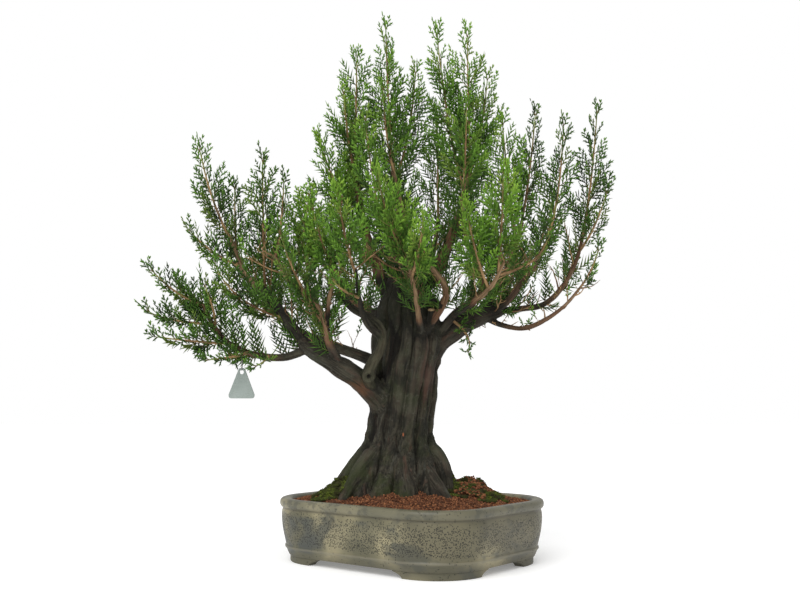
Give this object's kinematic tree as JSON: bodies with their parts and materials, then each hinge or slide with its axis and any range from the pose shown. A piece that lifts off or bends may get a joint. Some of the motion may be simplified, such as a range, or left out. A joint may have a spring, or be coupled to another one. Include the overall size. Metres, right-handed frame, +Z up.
{
  "type": "arborvitae bonsai",
  "caption": "Old arborvitae bonsai with a fluted trunk, spreading limbs and upright leafy plumes, growing from mossy soil in a shallow glazed pot.",
  "frame": {"origin": "middle of the bounding box's underside, on the surface that the pot's feet stand on", "axes": "+Z up; -Y is the tree's front, which the picture shows; -X is the side of the long low branch with the tag"},
  "size_m": [0.6374, 0.4186, 0.7539],
  "materials": {
    "pot_glaze": "speckled matt glaze, beige and grey-green",
    "soil": "red-brown baked clay granules",
    "moss": "soft green moss",
    "bark": "rough fibrous bark, dark on the trunk and cinnamon on the branches",
    "foliage": "satin scale leaves",
    "tag_plastic": "milky plastic",
    "wire": "thin dull wire"
  },
  "bodies": {
    "root": {"pot": "pot_glaze", "soil": "soil", "moss_left": "moss", "moss_right": "moss", "wood": "bark", "tag": "tag_plastic", "tag_wire": "wire", "leafy_shoot_01": "foliage", "leafy_shoot_02": "foliage", "leafy_shoot_03": "foliage", "leafy_shoot_04": "foliage", "leafy_shoot_05": "foliage", "leafy_shoot_06": "foliage", "leafy_shoot_07": "foliage", "leafy_shoot_08": "foliage", "leafy_shoot_09": "foliage", "leafy_shoot_10": "foliage", "leafy_shoot_11": "foliage", "leafy_shoot_12": "foliage", "leafy_shoot_13": "foliage", "leafy_shoot_14": "foliage", "leafy_shoot_15": "foliage", "leafy_shoot_16": "foliage", "leafy_shoot_17": "foliage", "leafy_shoot_18": "foliage", "leafy_shoot_19": "foliage", "leafy_shoot_20": "foliage", "leafy_shoot_21": "foliage", "leafy_shoot_22": "foliage", "leafy_shoot_23": "foliage", "leafy_shoot_24": "foliage", "leafy_shoot_25": "foliage", "leafy_shoot_26": "foliage", "leafy_shoot_27": "foliage", "leafy_shoot_28": "foliage", "leafy_shoot_29": "foliage", "leafy_shoot_30": "foliage", "leafy_shoot_31": "foliage", "leafy_shoot_32": "foliage", "leafy_shoot_33": "foliage", "leafy_shoot_34": "foliage", "leafy_shoot_35": "foliage", "leafy_shoot_36": "foliage", "leafy_shoot_37": "foliage", "leafy_shoot_38": "foliage", "leafy_shoot_39": "foliage", "leafy_shoot_40": "foliage", "leafy_shoot_41": "foliage", "leafy_shoot_42": "foliage", "leafy_shoot_43": "foliage", "leafy_shoot_44": "foliage", "leafy_shoot_45": "foliage", "leafy_shoot_46": "foliage", "leafy_shoot_47": "foliage", "leafy_shoot_48": "foliage", "leafy_shoot_49": "foliage", "leafy_shoot_50": "foliage", "leafy_shoot_51": "foliage", "leafy_shoot_52": "foliage", "leafy_shoot_53": "foliage"}
  },
  "joints": []
}
